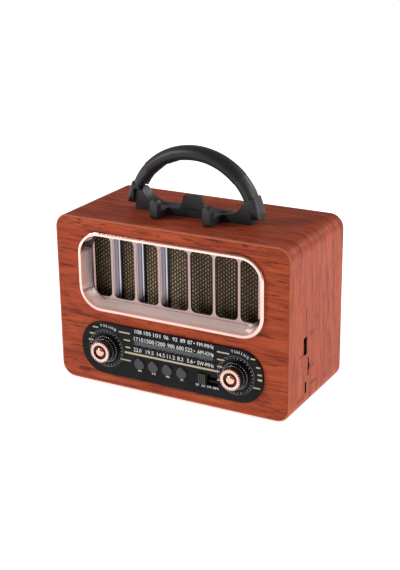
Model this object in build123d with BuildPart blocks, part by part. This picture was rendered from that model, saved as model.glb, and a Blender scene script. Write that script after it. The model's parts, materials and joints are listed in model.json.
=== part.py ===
"""Tabletop radio: wooden cabinet, plated grille, dial panel, carry handle and its insides.

Frame: millimetres, +Z up, +X to the listener's right, front of the radio towards -Y.
The origin is on the surface that the feet stand on, under the middle of the whole radio.
"""
import os
from math import asin, cos, degrees, radians, sin

from build123d import *

# ---------------------------------------------------------------- driving dimensions
CAB_W, CAB_D, CAB_H = 200.0, 94.0, 135.0      # cabinet without feet, knobs or handle
CAB_R = 11.0                                  # corners of the wrapped shell
WALL = 8.0                                    # shell wall
LIP = 1.5                                     # edge of the shell around the inset panels
PANEL_T = 6.0                                 # front panel thickness
REAR_T = 4.0                                  # rear cover thickness
FIT = 0.15                                    # gap around an inset panel
FOOT_H, FOOT_R = 2.0, 6.0
FRONT = -45.0                                 # front face of the cabinet
BACK = FRONT + CAB_D
BOTTOM, TOP = FOOT_H, FOOT_H + CAB_H
CAB_MID = (BOTTOM + TOP) / 2
INNER_X = CAB_W / 2 - WALL
INNER_FLOOR, INNER_CEILING = BOTTOM + WALL, TOP - WALL
SILL = 57.0                                   # front-most and rear-most reach of the radio

# grille
GRILLE_Z = 95.0
RIM_A, RIM_B, RIM_R = 79.4, 31.9, 19.2        # outer half width, half height, corner
RIM_WIDE = 2.6                                # face width of the rim
RIM_PROUD = 2.2
DISH_DEPTH = 8.0                              # from the cabinet face to the slotted plate
DISH_INSET = 5.0                              # how far the dish walls slope inwards
TOP_INSET = 3.0                               # and the upper wall, which slopes less
DISH_T = 1.4
PLATE_T = 2.0
FIN_X = (13.0, 33.8, 54.6)                    # fin front edges, mirrored left and right
FIN_W = 2.0
FIN_LEAN = 5.0                                # rear edges lean towards the middle
FIN_BACK = 14.5                               # depth of the rear edges
SLOT_MARGIN = 1.6
TOP_MARGIN = 0.6                              # plate left above the windows
CLOTH_BACK = 19.0                             # from the cabinet face to the cloth
SLOT_R = 4.0
CLOTH_T = 0.8
CLOTH_W, CLOTH_H = 156.0, 58.0
BAFFLE_T = 4.0
BAFFLE_W, BAFFLE_H = 180.0, 66.0

# speaker (66 mm driver)
SPK_R = 33.0
SPK_HOLE_R = 28.0
SPK_DEPTH = 18.0
MAGNET_R, MAGNET_T = 20.0, 13.0

# dial panel
DIAL_Z = 33.0
DIAL_A, DIAL_B, DIAL_R = 79.2, 21.5, 20.0
DIAL_PROUD = 1.8
DIAL_PLUG = 2.0                               # the part inside the cabinet opening
DIAL_EDGE = 3.0                               # overlap of the panel on the cabinet face
DIAL_FACE = FRONT - DIAL_PROUD
DIAL_REAR = FRONT + DIAL_PLUG
WINDOW_X0, WINDOW_X1 = -32.0, 38.0
WINDOW_Z, WINDOW_H = 42.2, 4.4
BOARD_Y = -36.0                               # front face of the control board
PCB_T = 1.6

# knobs
KNOB_X = 56.7
KNOB_FLANGE_R = 11.0
KNOB_BAND_R = 9.8
KNOB_CAP_R = 8.3
KNOB_DOME_R = 3.7
DOME_ROUND = 2.1
SHAFT_R = 3.0
SHAFT_TIP = -53.0                             # front ends of the two shafts, inside the knobs
CAP_Y = -54.2                                 # seat of the toothed ring
CORE_Y = -54.8                                # seat of the dome inside the ring
RING_BORE_R, RING_T = 5.8, 2.1
RUN = 0.05                                    # radial running clearance
POT_R, POT_T = 8.0, 8.0
SHAFT_IN = 5.5                                # how far a shaft reaches into its control

# buttons and band switch
BUTTON_X = (-26.4, -14.1, -1.8, 10.8)
BUTTON_Z = 25.6
BUTTON_R = 4.6
BUTTON_PROUD = 1.5
STEM_Y = -40.4                                # rear ends of the buttons' stems
SWITCH_T = 3.4                                # switches that the stems press
LEVER_X0 = 28.8                               # band lever at its left-most detent
LEVER_TRAVEL = 9.0
LEVER_Z = 25.1
LEVER_W, LEVER_H = 6.0, 8.2
LEVER_PROUD = 2.0
TONGUE_Y = -39.6                              # rear end of the lever's tongue, in its switch

# dial cord drive
CORD = 0.6
CORD_Y = -40.6
DRUM_R = 12.3                                 # to the middle of the cord
IDLER_X = -38.0
IDLER_R = 3.2
RUN_TOP, RUN_LOW = DIAL_Z + DRUM_R, DIAL_Z - DRUM_R
POINTER_X = -27.5
RAIL_Z = 48.0

# main board and side sockets
MAIN_Y = -15.8                                # front face of the main board
SKIN = 2.0                                    # wall left outside the socket pocket
USB_Y, USB_Z = -19.2, 54.4
CARD_Y, CARD_Z = -13.2, 36.2
CHARGE_Y, CHARGE_Z = -17.5, 20.5
LED_SPOTS = ((-13.2, 61.5), (-13.2, 20.5))    # Y, Z of the two indicator holes
POCKET_FACE = CAB_W / 2 - SKIN

# handle and its bracket
PIVOT_Y, PIVOT_Z = -3.0, TOP + 11.0
GRIP_ARC_R, GRIP_ARC_Z = 54.0, 131.4          # top arc of the handle's centre line
ARM_ARC_R = 45.0                              # shoulder arcs
HANDLE_HALF_DEEP, HANDLE_HALF_THICK = 7.2, 5.4
CORE_HALF_DEEP, CORE_HALF_THICK = 4.2, 2.6
GRIP_PROUD = 0.3                              # the soft sleeve is thicker than the arms
GROOVE_TURNS = (-30, -12, 12, 30)             # finger grooves, in degrees from the top
GROOVE_R, GROOVE_DEEP = 9.0, 0.9
BOOT_Z = 156.0                                # top of the squarer lower end of each arm
BOOT_THICK, BOOT_DEEP, BOOT_ROUND = 5.8, 7.5, 4.0
KNUCKLE_R = 7.5
KNUCKLE_X0 = 50.0                             # inner face of the arm's foot, beside the ear
ARM_CUT_X = 40.0                              # cuts at the arms' feet start this far out
EAR_OUT, EAR_IN, EAR_H = 49.6, 43.8, 18.0
EAR_DEEP = 11.0
BAR_H = 6.0
PIN_R, PIN_DEEP = 2.0, 4.5                     # hinge pins, and their depth in the handle's arms
PIN_X0 = 46.0                                 # inner end of a pin, inside its ear
EAR_CLEAR = 2.0                               # the arms clear the knuckles by this round the ears
HOOK_X, HOOK_W, HOOK_T = 22.4, 7.1, 5.6
HOOK_FRONT = -27.6
HOOK_ROUND = 1.0
HOOK_Z0, HOOK_Z1 = TOP + 1.0, TOP + 15.3
TAB_LOW, TAB_HIGH, TAB_Z = 10.5, 7.5, TOP + 16.4   # back-rest tab: half widths and top
TAB_BACK, TAB_T, TAB_ROUND = -4.1, 3.0, 2.0

# telescopic aerial on the back
AERIAL_Y, AERIAL_Z = BACK + 4.5, 124.0
SWIVEL_X = 82.0
TILT_X = 73.0
AERIAL_END = -48.0
TUBE_R = (3.0, 2.55, 2.1, 1.65)               # outer radii, outside to inside
BORE_R = (2.6, 2.15, 1.7)

os.makedirs("parts", exist_ok=True)


def facing(y):
    """Plane at depth y: local x is +X, local y is +Z, and extrusion goes to the front."""
    return Plane(origin=(0, y, 0), x_dir=(1, 0, 0), z_dir=(0, -1, 0))


def side_on(x):
    """Plane at x: local x is +Y, local y is +Z, and extrusion goes to the right."""
    return Plane(origin=(x, 0, 0), x_dir=(0, 1, 0), z_dir=(1, 0, 0))


def save(part, name):
    part.label = name
    export_step(part, f"parts/{name}.step")


def corner_points(half_x, half_z, mid_z):
    return [(sx * half_x, mid_z + sz * half_z) for sx in (-1, 1) for sz in (-1, 1)]


# ---------------------------------------------------------------- cabinet
BRACKET_SCREWS = [(sx * x, PIVOT_Y) for sx in (-1, 1) for x in (12.0, 38.0)]
REAR_SCREW_SPOTS = [(sx * 86.0, z) for sx in (-1, 1) for z in (12.0, CAB_MID, 112.0)]
BAFFLE_POSTS = corner_points(85.5, 25.0, GRILLE_Z)
SPK_SCREWS = corner_points(21.9, 21.9, GRILLE_Z)

with BuildPart() as cabinet_shell:
    with BuildSketch(facing(BACK)):
        with Locations((0, CAB_MID)):
            RectangleRounded(CAB_W, CAB_H, CAB_R)
            RectangleRounded(CAB_W - 2 * WALL, CAB_H - 2 * WALL, CAB_R - WALL, mode=Mode.SUBTRACT)
    extrude(amount=CAB_D)
    for y, depth in ((FRONT + PANEL_T, PANEL_T), (BACK, REAR_T)):
        with BuildSketch(facing(y)):
            with Locations((0, CAB_MID)):
                RectangleRounded(CAB_W - 2 * LIP, CAB_H - 2 * LIP, CAB_R - LIP)
        extrude(amount=depth, mode=Mode.SUBTRACT)
    for end in (0, -1):
        rim = cabinet_shell.faces().sort_by(Axis.Y)[end].outer_wire().edges()
        fillet(rim, 0.9)
    # pocket milled behind the side sockets, then the openings in the skin that is left
    with BuildSketch(side_on(INNER_X)):
        with Locations((-16.0, 38.0)):
            RectangleRounded(18.0, 56.0, 3.0)
    extrude(amount=WALL - SKIN, mode=Mode.SUBTRACT)
    with BuildSketch(side_on(POCKET_FACE)):
        with Locations((USB_Y, USB_Z)):
            Rectangle(6.2, 14.0)
        with Locations((CARD_Y, CARD_Z)):
            Rectangle(1.8, 15.0)
        with Locations((CARD_Y + 0.6, CARD_Z)):
            Ellipse(1.8, 4.0)
        with Locations((CHARGE_Y, CHARGE_Z)):
            RectangleRounded(3.2, 9.4, 1.0)
        with Locations(*LED_SPOTS):
            Circle(0.9)
    extrude(amount=SKIN, mode=Mode.SUBTRACT)
    with Locations(*[(x, y, TOP) for x, y in BRACKET_SCREWS]):
        Hole(1.6, WALL)
    # two grooved blocks hold the main board's lower edge on the floor
    for x in (25.0, 75.0):
        with BuildSketch(Plane.XY.offset(INNER_FLOOR)):
            with Locations((x, MAIN_Y + PCB_T / 2)):
                Rectangle(8.0, 9.0)
                Rectangle(8.0, PCB_T + 2 * FIT, mode=Mode.SUBTRACT)
        extrude(amount=6.0)
    # blocks that the rear cover's screws bite into
    with BuildSketch(facing(BACK - REAR_T)):
        for x, z in REAR_SCREW_SPOTS:
            with Locations((x + (3.5 if x > 0 else -3.5), z)):
                Rectangle(11.0, 9.0)
        with Locations(*REAR_SCREW_SPOTS):
            Circle(1.55, mode=Mode.SUBTRACT)
    extrude(amount=12.0)
save(cabinet_shell.part, "cabinet_shell")

with BuildPart() as front_panel:
    with BuildSketch(facing(FRONT + PANEL_T)):
        with Locations((0, CAB_MID)):
            RectangleRounded(CAB_W - 2 * LIP - 2 * FIT, CAB_H - 2 * LIP - 2 * FIT, CAB_R - LIP)
        with Locations((0, GRILLE_Z)):
            RectangleRounded(2 * (RIM_A - 1.0), 2 * (RIM_B - 1.0), RIM_R - 1.0, mode=Mode.SUBTRACT)
        with Locations((0, DIAL_Z)):
            RectangleRounded(2 * (DIAL_A - DIAL_EDGE), 2 * (DIAL_B - DIAL_EDGE),
                             DIAL_R - DIAL_EDGE, mode=Mode.SUBTRACT)
    extrude(amount=PANEL_T)
    with BuildSketch(facing(FRONT + PANEL_T)):
        with Locations(*BAFFLE_POSTS):
            Circle(4.0)
    extrude(amount=-(CLOTH_BACK + CLOTH_T - PANEL_T))
save(front_panel.part, "front_panel")

with BuildPart() as rear_cover:
    with BuildSketch(facing(BACK)):
        with Locations((0, CAB_MID)):
            RectangleRounded(CAB_W - 2 * LIP - 2 * FIT, CAB_H - 2 * LIP - 2 * FIT, CAB_R - LIP)
        with Locations(*REAR_SCREW_SPOTS):
            Circle(1.6, mode=Mode.SUBTRACT)
        for row in range(5):
            with Locations((0, 50.0 + 7.0 * row)):
                SlotOverall(60.0, 2.6, mode=Mode.SUBTRACT)
    extrude(amount=REAR_T)
save(rear_cover.part, "rear_cover")

with BuildPart() as rear_screws:
    with BuildSketch(facing(BACK)):
        with Locations(*REAR_SCREW_SPOTS):
            Circle(1.55)
    extrude(amount=12.0)
    with BuildSketch(facing(BACK)):
        with Locations(*REAR_SCREW_SPOTS):
            Circle(3.2)
    extrude(amount=-1.8)
    with BuildSketch(facing(BACK + 1.8)):
        with Locations(*REAR_SCREW_SPOTS):
            Rectangle(3.6, 0.7)
            Rectangle(0.7, 3.6)
    extrude(amount=1.0, mode=Mode.SUBTRACT)
save(rear_screws.part, "rear_screws")

with BuildPart() as rubber_feet:
    with BuildSketch(Plane.XY):
        for x in (-82.0, 82.0):
            for y in (FRONT + 18.0, BACK - 14.0):
                with Locations((x, y)):
                    Circle(FOOT_R)
    extrude(amount=FOOT_H)
    chamfer(rubber_feet.faces().group_by(Axis.Z)[0].edges(), 0.5)
save(rubber_feet.part, "rubber_feet")

# ---------------------------------------------------------------- grille and speaker
inner_a, inner_b, inner_r = RIM_A - RIM_WIDE, RIM_B - RIM_WIDE, RIM_R - RIM_WIDE
dish_a, dish_r = inner_a - DISH_INSET, inner_r - DISH_INSET
dish_low, dish_top = GRILLE_Z - inner_b + DISH_INSET, GRILLE_Z + inner_b - TOP_INSET
dish_z, dish_b = (dish_low + dish_top) / 2, (dish_top - dish_low) / 2
PLATE_Y = FRONT + DISH_DEPTH
FIN_ENDS = [-dish_a] + sorted([-x for x in FIN_X] + list(FIN_X)) + [dish_a]

with BuildPart() as grille_bezel:
    with BuildSketch(facing(FRONT)):
        with Locations((0, GRILLE_Z)):
            RectangleRounded(2 * RIM_A, 2 * RIM_B, RIM_R)
    extrude(amount=RIM_PROUD)
    fillet(grille_bezel.faces().sort_by(Axis.Y)[0].edges(), 1.2)
    mouth = (GRILLE_Z, inner_a, inner_b, inner_r)
    seat = (dish_z, dish_a, dish_b, dish_r)
    for y, (z, half_x, half_z, corner) in ((FRONT, mouth), (PLATE_Y + PLATE_T, seat)):
        with BuildSketch(facing(y)):
            with Locations((0, z)):
                RectangleRounded(2 * (half_x + DISH_T), 2 * (half_z + DISH_T), corner + DISH_T)
    loft()
    for y, (z, half_x, half_z, corner) in ((FRONT - RIM_PROUD, mouth), (PLATE_Y, seat)):
        with BuildSketch(facing(y)):
            with Locations((0, z)):
                RectangleRounded(2 * half_x, 2 * half_z, corner)
    loft(mode=Mode.SUBTRACT)
    # seven windows between the fins
    with BuildSketch(facing(PLATE_Y + PLATE_T)):
        for left, right in zip(FIN_ENDS, FIN_ENDS[1:]):
            x0 = left + (FIN_W / 2 if left > -dish_a else SLOT_MARGIN)
            x1 = right - (FIN_W / 2 if right < dish_a else SLOT_MARGIN)
            with Locations(((x0 + x1) / 2, (dish_low + SLOT_MARGIN + dish_top - TOP_MARGIN) / 2)):
                RectangleRounded(x1 - x0, 2 * dish_b - SLOT_MARGIN - TOP_MARGIN, SLOT_R)
    extrude(amount=PLATE_T, mode=Mode.SUBTRACT)
    # leaning fins behind the plate's bars
    with BuildSketch(Plane.XY.offset(dish_low)):
        for side in (-1, 1):
            for x in FIN_X:
                front_x, rear_x, half = side * x, side * (x - FIN_LEAN), FIN_W / 2
                with BuildLine():
                    Polyline((front_x - half, PLATE_Y + 0.4), (front_x + half, PLATE_Y + 0.4),
                             (rear_x + half, FRONT + FIN_BACK), (rear_x - half, FRONT + FIN_BACK),
                             close=True)
                make_face()
    extrude(amount=2 * dish_b)
save(grille_bezel.part, "grille_bezel")

CLOTH_Y = FRONT + CLOTH_BACK
with BuildPart() as speaker_cloth:
    with BuildSketch(facing(CLOTH_Y + CLOTH_T)):
        with Locations((0, GRILLE_Z)):
            RectangleRounded(CLOTH_W, CLOTH_H, 3.0)
    extrude(amount=CLOTH_T)
save(speaker_cloth.part, "speaker_cloth")

BAFFLE_Y = CLOTH_Y + CLOTH_T                  # front face of the speaker board
with BuildPart() as speaker_board:
    with BuildSketch(facing(BAFFLE_Y + BAFFLE_T)):
        with Locations((0, GRILLE_Z)):
            RectangleRounded(BAFFLE_W, BAFFLE_H, 4.0)
            Circle(SPK_HOLE_R, mode=Mode.SUBTRACT)
        with Locations(*SPK_SCREWS):
            Circle(1.3, mode=Mode.SUBTRACT)
    extrude(amount=BAFFLE_T)
save(speaker_board.part, "speaker_board")

SPK_Y = BAFFLE_Y + BAFFLE_T                   # the basket's flange sits on the board
speaker_axis = Axis((0, SPK_Y, GRILLE_Z), (0, 1, 0))
half_section = Plane(origin=(0, SPK_Y, GRILLE_Z), x_dir=(1, 0, 0), z_dir=(0, 0, 1))

with BuildPart() as speaker_frame:
    with BuildSketch(half_section):
        with BuildLine():
            Polyline((SPK_HOLE_R - 0.5, 0), (SPK_R, 0), (SPK_R, 1.2), (SPK_HOLE_R + 1.0, 1.2),
                     (16.0, SPK_DEPTH), (5.6, SPK_DEPTH), (5.6, SPK_DEPTH - 1.2),
                     (15.0, SPK_DEPTH - 1.2), close=True)
        make_face()
    revolve(axis=speaker_axis)
    with BuildSketch(facing(SPK_Y)):
        with Locations(*SPK_SCREWS):
            Circle(1.3)
    extrude(amount=-1.2, mode=Mode.SUBTRACT)
    # four windows in the cone-shaped wall
    with BuildSketch(facing(SPK_Y + SPK_DEPTH - 2.0)):
        with Locations((0, GRILLE_Z)):
            for turn in range(4):
                with Locations(Rotation(0, 0, 90 * turn)):
                    with Locations((22.0, 0)):
                        RectangleRounded(9.0, 14.0, 2.0)
    extrude(amount=SPK_DEPTH - 6.0, mode=Mode.SUBTRACT)
save(speaker_frame.part, "speaker_frame")

with BuildPart() as speaker_cone:
    with BuildSketch(half_section):
        with BuildLine():
            Polyline((SPK_HOLE_R - 1.6, 0.2), (SPK_HOLE_R - 1.6, 0.8), (SPK_HOLE_R - 5.0, 1.0),
                     (5.0, 12.0), (0, 10.5), (0, 9.5), (6.0, 10.8), (SPK_HOLE_R - 5.5, 0.2),
                     close=True)
        make_face()
    revolve(axis=speaker_axis)
save(speaker_cone.part, "speaker_cone")

with BuildPart() as speaker_magnet:
    with BuildSketch(facing(SPK_Y + SPK_DEPTH)):
        with Locations((0, GRILLE_Z)):
            Circle(MAGNET_R)
    extrude(amount=-MAGNET_T)
    chamfer(speaker_magnet.edges().filter_by(GeomType.CIRCLE), 1.0)
save(speaker_magnet.part, "speaker_magnet")

with BuildPart() as speaker_screws:
    with BuildSketch(facing(SPK_Y + 1.2)):
        with Locations(*SPK_SCREWS):
            Circle(1.9)
    extrude(amount=-1.5)
    with BuildSketch(facing(SPK_Y + 1.2)):
        with Locations(*SPK_SCREWS):
            Circle(1.25)
    extrude(amount=4.5)
save(speaker_screws.part, "speaker_screws")

# ---------------------------------------------------------------- dial panel
BOARD_POSTS = [(-70.0, DIAL_Z), (-46.5, 48.6), (-46.5, 17.4), (30.0, 17.2), (72.6, DIAL_Z)]

with BuildPart() as dial_panel:
    with BuildSketch(facing(FRONT)):
        with Locations((0, DIAL_Z)):
            RectangleRounded(2 * DIAL_A, 2 * DIAL_B, DIAL_R)
    extrude(amount=DIAL_PROUD)
    fillet(dial_panel.faces().sort_by(Axis.Y)[0].edges(), 0.5)
    with BuildSketch(facing(FRONT)):
        with Locations((0, DIAL_Z)):
            RectangleRounded(2 * (DIAL_A - DIAL_EDGE - FIT), 2 * (DIAL_B - DIAL_EDGE - FIT),
                             DIAL_R - DIAL_EDGE)
    extrude(amount=-DIAL_PLUG)
    with BuildSketch(facing(DIAL_REAR)):
        with Locations((-KNOB_X, DIAL_Z), (KNOB_X, DIAL_Z)):
            Circle(SHAFT_R + 0.5)
        with Locations(*[(x, BUTTON_Z) for x in BUTTON_X]):
            Circle(BUTTON_R + 0.3)
        with Locations(((WINDOW_X0 + WINDOW_X1) / 2, WINDOW_Z)):
            Rectangle(WINDOW_X1 - WINDOW_X0, WINDOW_H)
        with Locations((LEVER_X0 + LEVER_TRAVEL / 2, LEVER_Z)):
            Rectangle(LEVER_TRAVEL + 3.2, 2.2)
    extrude(amount=DIAL_PLUG + DIAL_PROUD, mode=Mode.SUBTRACT)
    # pocket that the band lever slides in
    with BuildSketch(facing(DIAL_FACE)):
        with Locations((LEVER_X0 + LEVER_TRAVEL / 2, LEVER_Z)):
            Rectangle(LEVER_TRAVEL + 8.0, 9.0)
    extrude(amount=-2.4, mode=Mode.SUBTRACT)
    with BuildSketch(facing(DIAL_REAR)):
        with Locations(*BOARD_POSTS):
            Circle(2.0)
    extrude(amount=-(BOARD_Y - DIAL_REAR))
    # pins that the two idler pulleys turn on
    with BuildSketch(facing(DIAL_REAR)):
        with Locations((IDLER_X, RUN_TOP - IDLER_R), (IDLER_X, RUN_LOW + IDLER_R)):
            Circle(1.0)
    extrude(amount=-4.4)
save(dial_panel.part, "dial_panel")

with BuildPart() as dial_window:
    with BuildSketch(facing(DIAL_FACE + 2.0)):
        with Locations(((WINDOW_X0 + WINDOW_X1) / 2, WINDOW_Z)):
            Rectangle(WINDOW_X1 - WINDOW_X0, WINDOW_H)
    extrude(amount=1.7)
save(dial_window.part, "dial_window")

with BuildPart() as pointer_rail:
    with BuildSketch(facing(CORD_Y + 0.6)):
        with Locations((2.0, RAIL_Z)):
            Rectangle(77.0, 1.4)
    extrude(amount=1.2)
    with BuildSketch(facing(CORD_Y + 0.6)):
        with Locations((-36.5, RAIL_Z), (40.5, RAIL_Z)):
            Rectangle(2.0, 2.4)
    extrude(amount=CORD_Y + 0.6 - DIAL_REAR)
save(pointer_rail.part, "pointer_rail")

with BuildPart() as tuning_pointer:
    with BuildSketch(facing(CORD_Y + 1.2)):
        with Locations((POINTER_X, RAIL_Z)):
            Rectangle(4.4, 4.2)
            Rectangle(4.4, 1.7, mode=Mode.SUBTRACT)
    extrude(amount=2.6)
    with BuildSketch(facing(CORD_Y - 1.4)):
        with Locations((POINTER_X, (39.4 + 50.0) / 2)):
            Rectangle(0.9, 50.0 - 39.4)
    extrude(amount=0.4)
save(tuning_pointer.part, "tuning_pointer")

with BuildPart() as dial_cord:
    for grow, mode in ((CORD / 2, Mode.ADD), (-CORD / 2, Mode.SUBTRACT)):
        with BuildSketch(facing(CORD_Y + CORD / 2)):
            left, top, low = IDLER_X - IDLER_R - grow, RUN_TOP + grow, RUN_LOW - grow
            with BuildLine():
                Line((KNOB_X, top), (IDLER_X, top))
                RadiusArc((IDLER_X, top), (left, RUN_TOP - IDLER_R), -(IDLER_R + grow))
                Line((left, RUN_TOP - IDLER_R), (left, RUN_LOW + IDLER_R))
                RadiusArc((left, RUN_LOW + IDLER_R), (IDLER_X, low), -(IDLER_R + grow))
                Line((IDLER_X, low), (KNOB_X, low))
                ThreePointArc((KNOB_X, low), (KNOB_X + DRUM_R + grow, DIAL_Z), (KNOB_X, top))
            make_face()
        extrude(amount=CORD, mode=mode)
save(dial_cord.part, "dial_cord")

with BuildPart() as dial_drum:
    with BuildSketch(facing(CORD_Y + 1.0)):
        with Locations((KNOB_X, DIAL_Z)):
            Circle(DRUM_R + 0.7)
    extrude(amount=2.0)
    with BuildSketch(facing(CORD_Y + 0.4)):
        with Locations((KNOB_X, DIAL_Z)):
            Circle(DRUM_R + 0.7)
            Circle(DRUM_R - CORD / 2 - RUN, mode=Mode.SUBTRACT)
    extrude(amount=0.8, mode=Mode.SUBTRACT)
    with BuildSketch(facing(CORD_Y + 1.0)):
        with Locations((KNOB_X, DIAL_Z)):
            Circle(SHAFT_R)
            with PolarLocations(8.2, 3, 30):
                Circle(2.0)
    extrude(amount=2.0, mode=Mode.SUBTRACT)
save(dial_drum.part, "dial_drum")

for name, z in (("upper_idler", RUN_TOP - IDLER_R), ("lower_idler", RUN_LOW + IDLER_R)):
    with BuildPart() as idler:
        with BuildSketch(facing(CORD_Y + 1.0)):
            with Locations((IDLER_X, z)):
                Circle(IDLER_R + 0.5)
        extrude(amount=2.0)
        with BuildSketch(facing(CORD_Y + 0.4)):
            with Locations((IDLER_X, z)):
                Circle(IDLER_R + 0.5)
                Circle(IDLER_R - CORD / 2 - RUN, mode=Mode.SUBTRACT)
        extrude(amount=0.8, mode=Mode.SUBTRACT)
        with BuildSketch(facing(CORD_Y + 1.0)):
            with Locations((IDLER_X, z)):
                Circle(1.0 + RUN)
        extrude(amount=2.0, mode=Mode.SUBTRACT)
    save(idler.part, name)

# ---------------------------------------------------------------- knobs, shafts and controls
KNOB_BACK = DIAL_FACE - 0.6
BAND_Y, CONE_Y = KNOB_BACK - 1.5, KNOB_BACK - 3.8

for name, x in (("volume", -KNOB_X), ("tuning", KNOB_X)):
    with BuildPart() as knob:
        with BuildSketch(facing(KNOB_BACK)):
            with Locations((x, DIAL_Z)):
                Circle(KNOB_FLANGE_R)
        extrude(amount=1.5)
        fillet(knob.faces().sort_by(Axis.Y)[0].edges(), 0.5)
        with BuildSketch(facing(BAND_Y)):
            with Locations((x, DIAL_Z)):
                Circle(KNOB_BAND_R)
                with PolarLocations(KNOB_BAND_R, 36):
                    Rectangle(1.0, 0.7, mode=Mode.SUBTRACT)
        extrude(amount=BAND_Y - CONE_Y)
        with BuildSketch(facing(CONE_Y)):
            with Locations((x, DIAL_Z)):
                Circle(KNOB_BAND_R - 0.8)
        extrude(amount=CONE_Y - CAP_Y, taper=18)
        with BuildSketch(facing(CAP_Y)):
            with Locations((x, DIAL_Z)):
                Circle(RING_BORE_R)
        extrude(amount=CAP_Y - CORE_Y)
        with BuildSketch(facing(KNOB_BACK)):
            with Locations((x, DIAL_Z)):
                Circle(SHAFT_R)
        extrude(amount=KNOB_BACK - SHAFT_TIP, mode=Mode.SUBTRACT)
    save(knob.part, f"{name}_knob")

    with BuildPart() as ring:
        with BuildSketch(facing(CAP_Y)):
            with Locations((x, DIAL_Z)):
                Circle(KNOB_CAP_R - 0.7)
                with PolarLocations(KNOB_CAP_R - 0.7, 28):
                    Rectangle(1.6, 0.9)
                Circle(RING_BORE_R, mode=Mode.SUBTRACT)
        extrude(amount=RING_T)
    save(ring.part, f"{name}_knob_ring")

    with BuildPart() as dome:
        with BuildSketch(facing(CORE_Y)):
            with Locations((x, DIAL_Z)):
                Circle(KNOB_DOME_R)
        extrude(amount=CORE_Y + SILL)
        fillet(dome.faces().sort_by(Axis.Y)[0].edges(), DOME_ROUND)
    save(dome.part, f"{name}_knob_dome")

    with BuildPart() as shaft:
        with BuildSketch(facing(BOARD_Y + PCB_T + SHAFT_IN)):
            with Locations((x, DIAL_Z)):
                Circle(SHAFT_R)
        extrude(amount=BOARD_Y + PCB_T + SHAFT_IN - SHAFT_TIP)
    save(shaft.part, f"{name}_shaft")

    with BuildPart() as pot:
        with BuildSketch(facing(BOARD_Y + PCB_T)):
            with Locations((x, DIAL_Z)):
                Circle(POT_R)
            with Locations((x, DIAL_Z - 8.0)):
                Rectangle(13.0, 5.0)
        extrude(amount=-POT_T)
        with BuildSketch(facing(BOARD_Y + PCB_T)):
            with Locations((x, DIAL_Z)):
                Circle(SHAFT_R + RUN)
        extrude(amount=-6.0, mode=Mode.SUBTRACT)
    save(pot.part, f"{name}_control")

# ---------------------------------------------------------------- buttons and band switch
for name, x in zip(("previous", "play", "next", "mode"), BUTTON_X):
    with BuildPart() as button:
        with BuildSketch(facing(DIAL_REAR + 0.2)):
            with Locations((x, BUTTON_Z)):
                Circle(BUTTON_R)
        extrude(amount=DIAL_REAR + 0.2 - DIAL_FACE + BUTTON_PROUD)
        fillet(button.faces().sort_by(Axis.Y)[0].edges(), 1.2)
        with BuildSketch(facing(DIAL_REAR + 1.0)):
            with Locations((x, BUTTON_Z)):
                Circle(BUTTON_R + 0.8)
        extrude(amount=0.8)
        with BuildSketch(facing(STEM_Y)):
            with Locations((x, BUTTON_Z)):
                Circle(1.5)
        extrude(amount=STEM_Y - DIAL_REAR - 1.0)
    save(button.part, f"{name}_button")

with BuildPart() as tact_switches:
    with BuildSketch(facing(BOARD_Y)):
        with Locations(*[(x, BUTTON_Z) for x in BUTTON_X]):
            RectangleRounded(6.0, 6.0, 0.5)
    extrude(amount=SWITCH_T)
save(tact_switches.part, "tact_switches")

with BuildPart() as band_switch_lever:
    lever_back = DIAL_FACE + 2.2
    with BuildSketch(facing(lever_back)):
        with Locations((LEVER_X0, LEVER_Z)):
            Rectangle(LEVER_W, LEVER_H)
    extrude(amount=lever_back - DIAL_FACE + LEVER_PROUD)
    with BuildSketch(facing(DIAL_FACE - LEVER_PROUD)):
        for groove in (-1.6, 0.0, 1.6):
            with Locations((LEVER_X0 + groove, LEVER_Z)):
                Rectangle(0.6, LEVER_H)
    extrude(amount=-0.5, mode=Mode.SUBTRACT)
    with BuildSketch(facing(TONGUE_Y)):
        with Locations((LEVER_X0, LEVER_Z)):
            Rectangle(2.0, 1.6)
    extrude(amount=TONGUE_Y - lever_back)
save(band_switch_lever.part, "band_switch_lever")

with BuildPart() as band_switch_body:
    with BuildSketch(facing(BOARD_Y)):
        with Locations((31.8, LEVER_Z)):
            Rectangle(22.0, 6.6)
    extrude(amount=3.2)
    with BuildSketch(facing(BOARD_Y - 3.2)):
        with Locations((LEVER_X0 + LEVER_TRAVEL / 2, LEVER_Z)):
            Rectangle(LEVER_TRAVEL + 3.2, 2.0)
    extrude(amount=-2.0, mode=Mode.SUBTRACT)
save(band_switch_body.part, "band_switch_body")

with BuildPart() as control_board:
    with BuildSketch(facing(BOARD_Y + PCB_T)):
        with Locations((0, DIAL_Z)):
            RectangleRounded(152.0, 38.0, 3.0)
        with Locations((-KNOB_X, DIAL_Z), (KNOB_X, DIAL_Z)):
            Circle(SHAFT_R + 0.5, mode=Mode.SUBTRACT)
    extrude(amount=PCB_T)
    # small parts soldered on the back
    with BuildSketch(facing(BOARD_Y + PCB_T)):
        with Locations((0.0, 38.0)):
            Rectangle(12.0, 12.0)
        with Locations((22.0, 40.0), (-22.0, 40.0)):
            Circle(3.0)
    extrude(amount=-2.2)
save(control_board.part, "control_board")

# ---------------------------------------------------------------- main board and sockets
with BuildPart() as main_board:
    with BuildSketch(facing(MAIN_Y + PCB_T)):
        with Locations((50.0, (INNER_FLOOR + 65.0) / 2)):
            Rectangle(76.0, 65.0 - INNER_FLOOR)
        with Locations((92.5, (14.0 + 65.0) / 2)):
            Rectangle(10.0, 65.0 - 14.0)
    extrude(amount=PCB_T)
    with BuildSketch(facing(MAIN_Y + PCB_T)):
        with Locations((40.0, 40.0)):
            Rectangle(14.0, 14.0)
        with Locations((60.0, 30.0), (60.0, 45.0)):
            Circle(4.0)
    extrude(amount=-6.0)
save(main_board.part, "main_board")

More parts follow.
